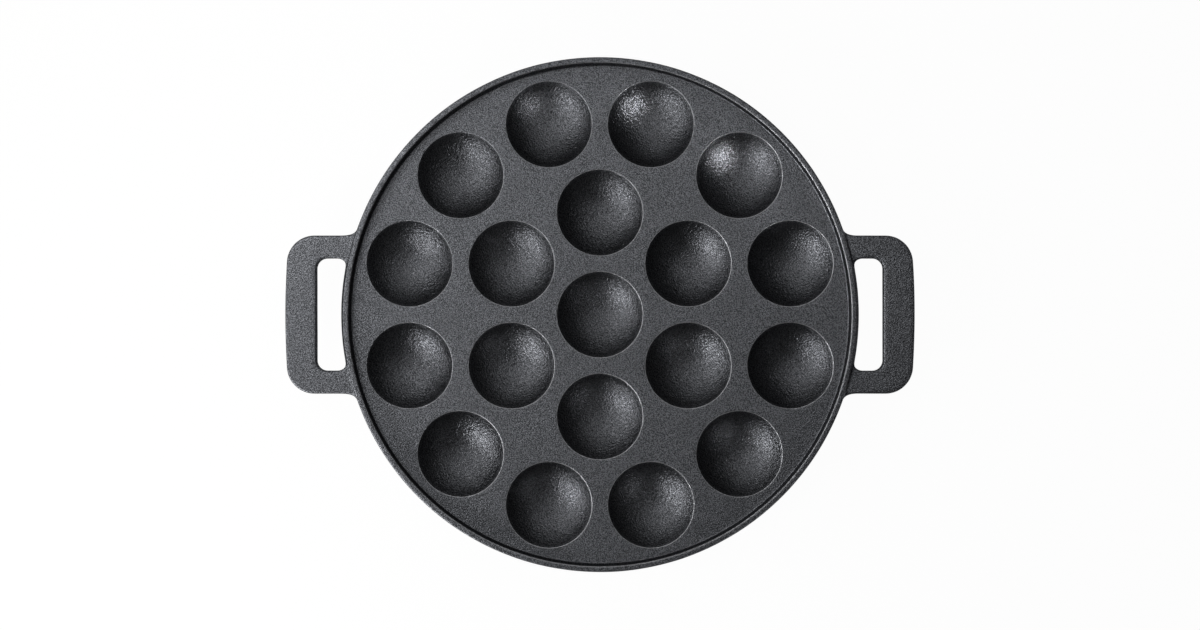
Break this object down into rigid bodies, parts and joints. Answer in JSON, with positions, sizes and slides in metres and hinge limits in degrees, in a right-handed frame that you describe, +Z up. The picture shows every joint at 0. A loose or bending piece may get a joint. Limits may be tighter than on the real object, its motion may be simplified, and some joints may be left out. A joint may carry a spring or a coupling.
{
  "type": "poffertjes pan",
  "caption": "Round cast iron pan with shallow round cups set in a flat plate, a raised rim, a skirt to stand on and two loop handles.",
  "frame": {"origin": "on the standing plane, under the centre of the middle cup", "axes": "+Z up out of the cups, X through the two handles, +Y towards the top of the picture"},
  "size_m": [0.3184, 0.26, 0.0245],
  "materials": {
    "cast_iron": "matt dark grey, fine sand-cast grain, lightly seasoned"
  },
  "bodies": {
    "root": {"pan_body": "cast_iron", "left_handle": "cast_iron", "right_handle": "cast_iron"}
  },
  "joints": []
}
